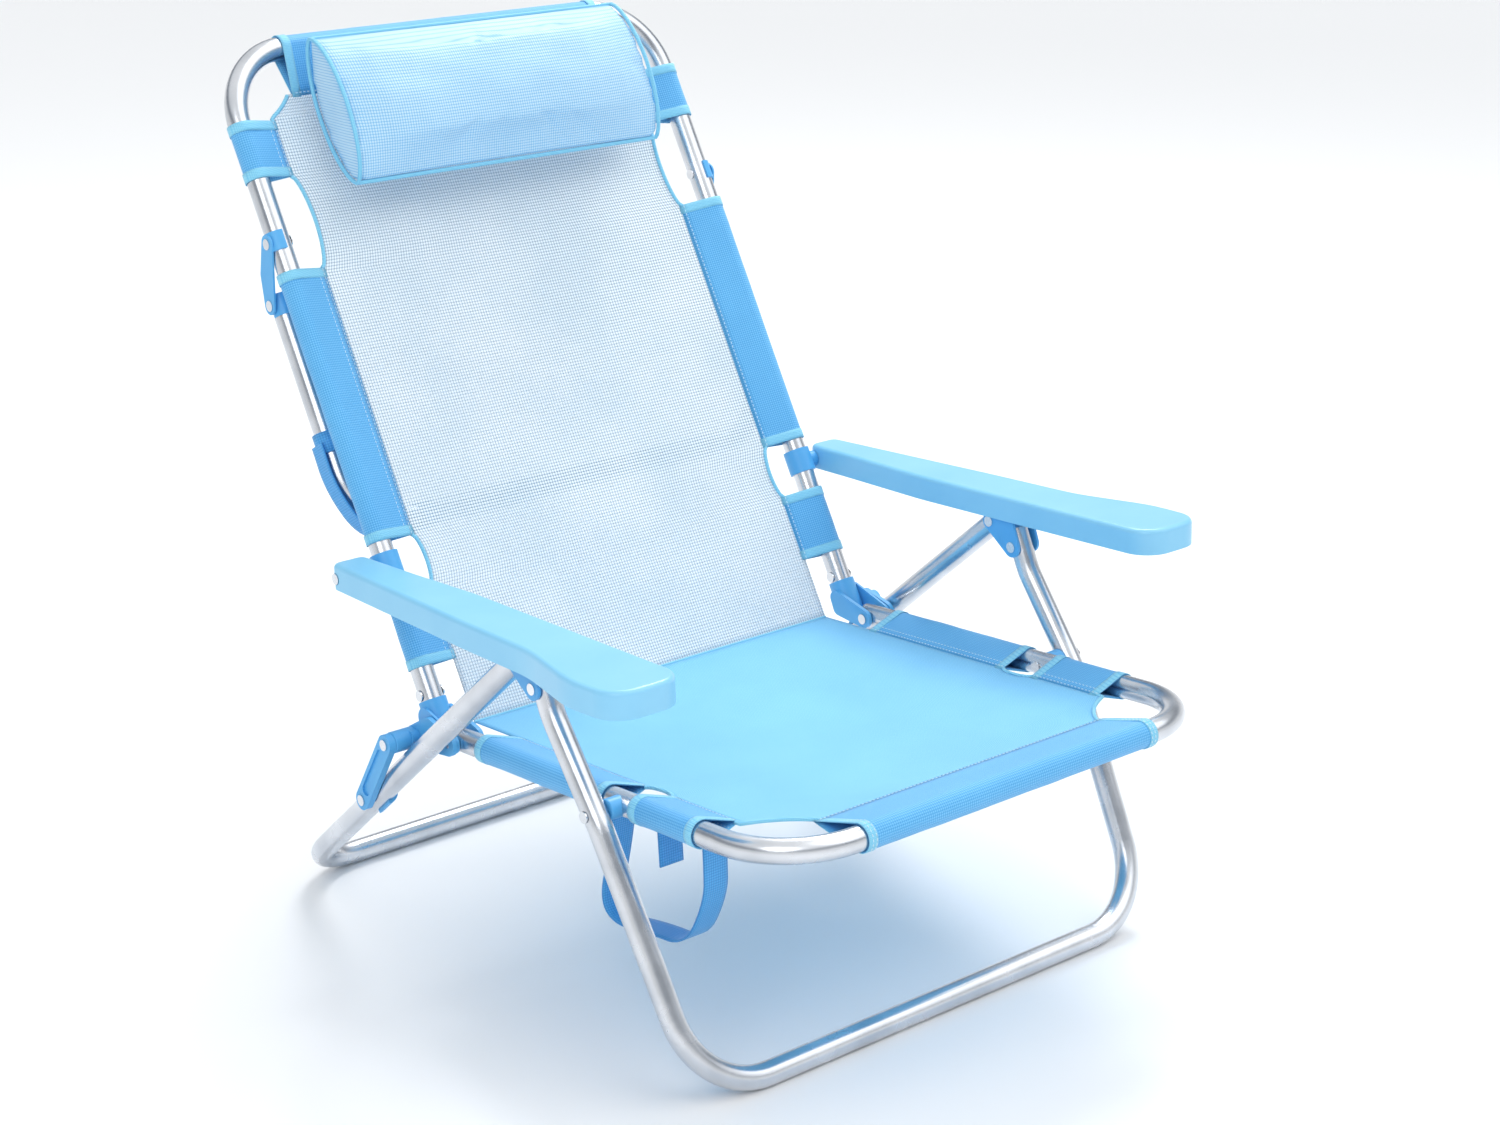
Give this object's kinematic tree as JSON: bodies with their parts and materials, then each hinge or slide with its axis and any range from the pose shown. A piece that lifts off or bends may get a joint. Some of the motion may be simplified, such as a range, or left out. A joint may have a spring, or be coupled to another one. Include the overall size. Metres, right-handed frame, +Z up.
{
  "type": "beach chair",
  "caption": "Low folding beach chair with a bent tube frame, mesh sling seat and back, moulded armrests, a rear stay, a head pillow and a carry strap.",
  "frame": {"origin": "on the ground, under the middle of the chair's outer box", "axes": "+X to the sitter's left, -Y the way the sitter faces, +Z up"},
  "size_m": [0.687, 0.8314, 0.7936],
  "materials": {
    "frame_tube": "satin anodised",
    "rivet_steel": "bright zinc",
    "armrest_plastic": "moulded, soft satin",
    "fitting_plastic": "moulded, satin",
    "sling_mesh": "coated open weave",
    "pillow_mesh": "coated weave over fill",
    "webbing": "woven strap"
  },
  "bodies": {
    "seat": {"seat_frame": "frame_tube", "seat_sling": "sling_mesh", "leg_rivets": "rivet_steel", "rail_plugs": "fitting_plastic", "carry_strap": "webbing", "strap_tab": "webbing", "leg_spacer_left": "fitting_plastic", "leg_spacer_right": "fitting_plastic"},
    "hinge_pins": {"hinge_pin_left": "rivet_steel", "hinge_pin_right": "rivet_steel"},
    "back": {"back_frame": "frame_tube", "back_sling": "sling_mesh", "rail_rivets": "rivet_steel", "hanger_rivets": "rivet_steel", "back_shoe_left": "fitting_plastic", "back_shoe_right": "fitting_plastic", "armrest_clip_left": "fitting_plastic", "armrest_clip_right": "fitting_plastic", "stay_hanger_left": "fitting_plastic", "stay_hanger_right": "fitting_plastic"},
    "hinge_elbows": {"hinge_elbow_left": "fitting_plastic", "hinge_elbow_right": "fitting_plastic"},
    "front_leg": {"front_leg": "frame_tube", "bracket_front_rivets": "rivet_steel"},
    "armrest_brackets": {"armrest_bracket_left": "fitting_plastic", "armrest_bracket_right": "fitting_plastic"},
    "rear_leg": {"rear_leg": "frame_tube", "bracket_rear_rivets": "rivet_steel", "link_keeper_left": "fitting_plastic", "link_keeper_right": "fitting_plastic"},
    "links": {"link_left": "fitting_plastic", "link_right": "fitting_plastic", "link_low_rivets": "rivet_steel", "link_top_rivets": "rivet_steel"},
    "armrest_pins": {"armrest_pin_left": "rivet_steel", "armrest_pin_right": "rivet_steel"},
    "armrests": {"armrest_left": "armrest_plastic", "armrest_right": "armrest_plastic"},
    "rear_stay": {"rear_stay": "frame_tube", "stay_rivets": "rivet_steel", "stay_strap": "webbing", "stay_sleeve_left": "fitting_plastic", "stay_sleeve_right": "fitting_plastic"},
    "pillow": {"head_pillow": "pillow_mesh"}
  },
  "joints": [
    {"name": "fold", "type": "hinge", "parent": "seat", "child": "hinge_pins", "pos_m": [0, 0.03491, 0.2135], "axis": [1, 0, 0], "range_deg": [0, 115.9]},
    {"name": "recline", "type": "hinge", "parent": "hinge_pins", "child": "back", "pos_m": [0, 0.03491, 0.2135], "axis": [1, 0, 0], "range_deg": [-25, 0]},
    {"name": "elbow_fold", "type": "hinge", "parent": "seat", "child": "hinge_elbows", "pos_m": [0, 0.03491, 0.2135], "axis": [1, 0, 0], "range_deg": [0, 161.68]},
    {"name": "front_leg_fold", "type": "hinge", "parent": "seat", "child": "front_leg", "pos_m": [0, -0.20206, 0.23215], "axis": [1, 0, 0], "range_deg": [0, 97.3]},
    {"name": "bracket_fold", "type": "hinge", "parent": "front_leg", "child": "armrest_brackets", "pos_m": [0, -0.13609, 0.327], "axis": [1, 0, 0], "range_deg": [-107.2, 0]},
    {"name": "rear_leg_fold", "type": "hinge", "parent": "armrest_brackets", "child": "rear_leg", "pos_m": [0, -0.10524, 0.34554], "axis": [1, 0, 0], "range_deg": [0, 26.1]},
    {"name": "link_fold", "type": "hinge", "parent": "rear_leg", "child": "links", "pos_m": [0, 0.13144, 0.13616], "axis": [1, 0, 0], "range_deg": [-27.61, 0]},
    {"name": "armrest_fold", "type": "hinge", "parent": "back", "child": "armrest_pins", "pos_m": [0, 0.1502, 0.34875], "axis": [1, 0, 0], "range_deg": [-132.7, 0]},
    {"name": "armrest_level", "type": "hinge", "parent": "armrest_pins", "child": "armrests", "pos_m": [0, 0.1502, 0.34875], "axis": [1, 0, 0], "range_deg": [0, 14.93]},
    {"name": "stay_swing", "type": "hinge", "parent": "back", "child": "rear_stay", "pos_m": [0, 0.31119, 0.56386], "axis": [1, 0, 0], "range_deg": [0, 100]},
    {"name": "pillow_lift", "type": "hinge", "parent": "back", "child": "pillow", "pos_m": [0, 0.38715, 0.77436], "axis": [1, 0, 0], "range_deg": [-100, 0]}
  ],
  "couplings": [
    {"joint": "elbow_fold", "follows": "fold", "ratio": 1.3933},
    {"joint": "front_leg_fold", "follows": "fold", "ratio": 0.83779},
    {"joint": "bracket_fold", "follows": "fold", "ratio": -0.92321},
    {"joint": "rear_leg_fold", "follows": "fold", "ratio": 0.22347},
    {"joint": "link_fold", "follows": "fold", "ratio": -0.23653},
    {"joint": "armrest_fold", "follows": "fold", "ratio": -1.1432},
    {"joint": "armrest_level", "follows": "recline", "ratio": -0.58926}
  ]
}
